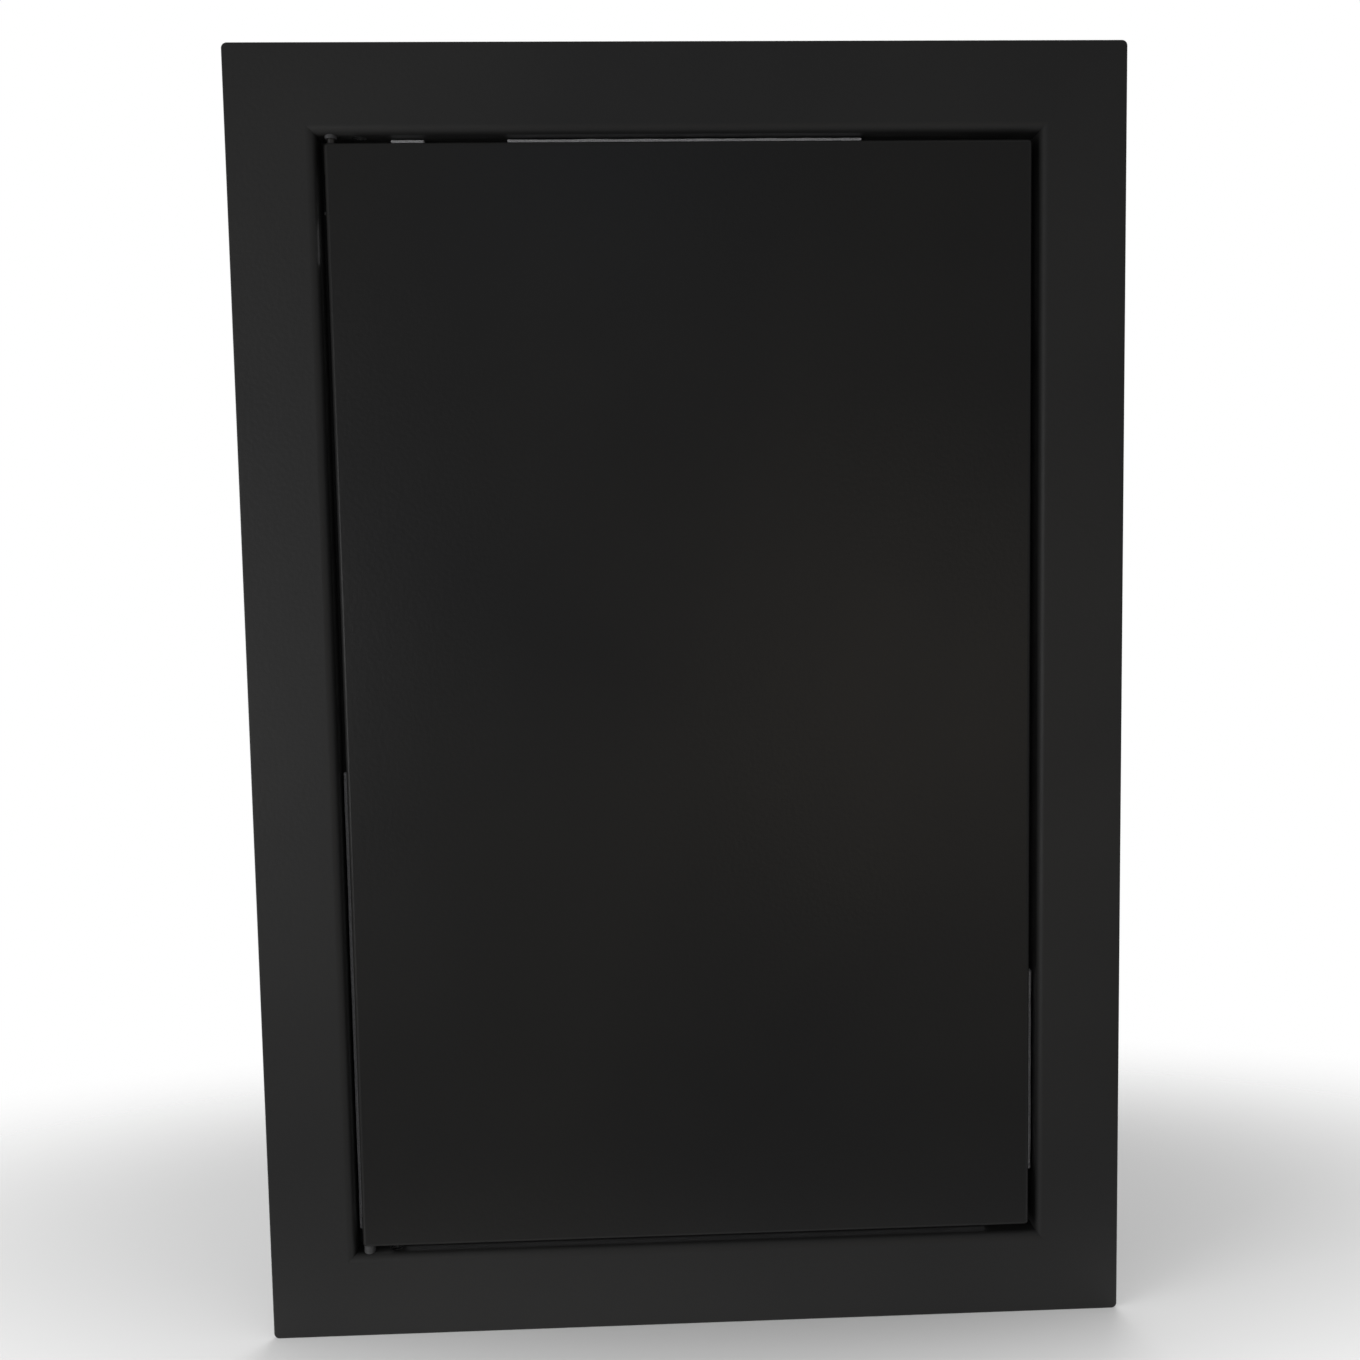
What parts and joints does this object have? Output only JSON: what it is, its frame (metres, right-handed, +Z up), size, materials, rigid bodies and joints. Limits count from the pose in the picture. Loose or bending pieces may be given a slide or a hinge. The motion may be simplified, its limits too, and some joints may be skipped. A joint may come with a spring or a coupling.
{
  "type": "access panel",
  "caption": "Flush steel access panel with a picture-frame flange and a side-hinged door on corner pivots, held shut by hidden touch latches.",
  "frame": {"origin": "the middle of the opening on the wall plane, which is the rear face of the flange", "axes": "+Z up, +Y into the wall, front face towards -Y, hinge side at -X"},
  "size_m": [0.318, 0.0515, 0.468],
  "materials": {
    "black_powder_coat": "satin black powder coat",
    "zinc_plated_steel": "bright zinc plate",
    "bright_steel": "bright steel",
    "grey_latch_plastic": "moulded grey plastic",
    "blackened_steel": "oiled black oxide",
    "black_nylon": "moulded black nylon",
    "nickel_magnet": "nickel plated",
    "grey_foam": "closed-cell foam strip"
  },
  "bodies": {
    "frame": {"frame_top_rail": "black_powder_coat", "frame_bottom_rail": "black_powder_coat", "frame_hinge_stile": "black_powder_coat", "frame_latch_stile": "black_powder_coat", "corner_cleat_1": "zinc_plated_steel", "corner_cleat_2": "zinc_plated_steel", "corner_cleat_3": "zinc_plated_steel", "corner_cleat_4": "zinc_plated_steel", "seal_top_short": "grey_foam", "seal_top_long": "grey_foam", "seal_bottom": "grey_foam", "seal_hinge_side": "grey_foam", "seal_latch_side": "grey_foam", "corner_rivets": "bright_steel", "upper_pivot_block": "black_nylon", "lower_pivot_block": "black_nylon", "pivot_block_screws": "bright_steel", "upper_latch_bracket": "zinc_plated_steel", "lower_latch_bracket": "zinc_plated_steel", "latch_bracket_screws": "bright_steel", "upper_latch_body": "grey_latch_plastic", "lower_latch_body": "grey_latch_plastic", "upper_latch_nut": "grey_latch_plastic", "lower_latch_nut": "grey_latch_plastic", "upper_latch_spring": "bright_steel", "lower_latch_spring": "bright_steel"},
    "door": {"door_leaf": "black_powder_coat", "door_stiffener": "black_powder_coat", "upper_hinge_bracket": "black_powder_coat", "lower_hinge_bracket": "black_powder_coat", "lower_hinge_pin": "blackened_steel", "pin_spring": "blackened_steel", "upper_strike_plate": "zinc_plated_steel", "lower_strike_plate": "zinc_plated_steel"},
    "upper_plunger": {"upper_latch_plunger": "grey_latch_plastic", "upper_latch_magnet": "nickel_magnet"},
    "lower_plunger": {"lower_latch_plunger": "grey_latch_plastic", "lower_latch_magnet": "nickel_magnet"},
    "sprung_pin": {"upper_hinge_pin": "blackened_steel"}
  },
  "joints": [
    {"name": "door_hinge", "type": "hinge", "parent": "frame", "child": "door", "pos_m": [-0.123, 0.0023, 0], "axis": [0, 0, -1], "range_deg": [0, 105]},
    {"name": "upper_latch_slide", "type": "slide", "parent": "frame", "child": "upper_plunger", "axis": [0, -1, 0], "range_m": [0, 0.012]},
    {"name": "lower_latch_slide", "type": "slide", "parent": "frame", "child": "lower_plunger", "axis": [0, -1, 0], "range_m": [0, 0.012]},
    {"name": "hinge_pin_slide", "type": "slide", "parent": "door", "child": "sprung_pin", "axis": [0, 0, -1], "range_m": [0, 0.0065], "stiffness_N_per_m": 400, "springref_m": -0.003, "deforming": ["pin_spring"]}
  ],
  "couplings": [
    {"joint": "upper_latch_slide", "follows": "door_hinge", "m_per_rad": 0.0065},
    {"joint": "lower_latch_slide", "follows": "door_hinge", "m_per_rad": 0.0065}
  ]
}
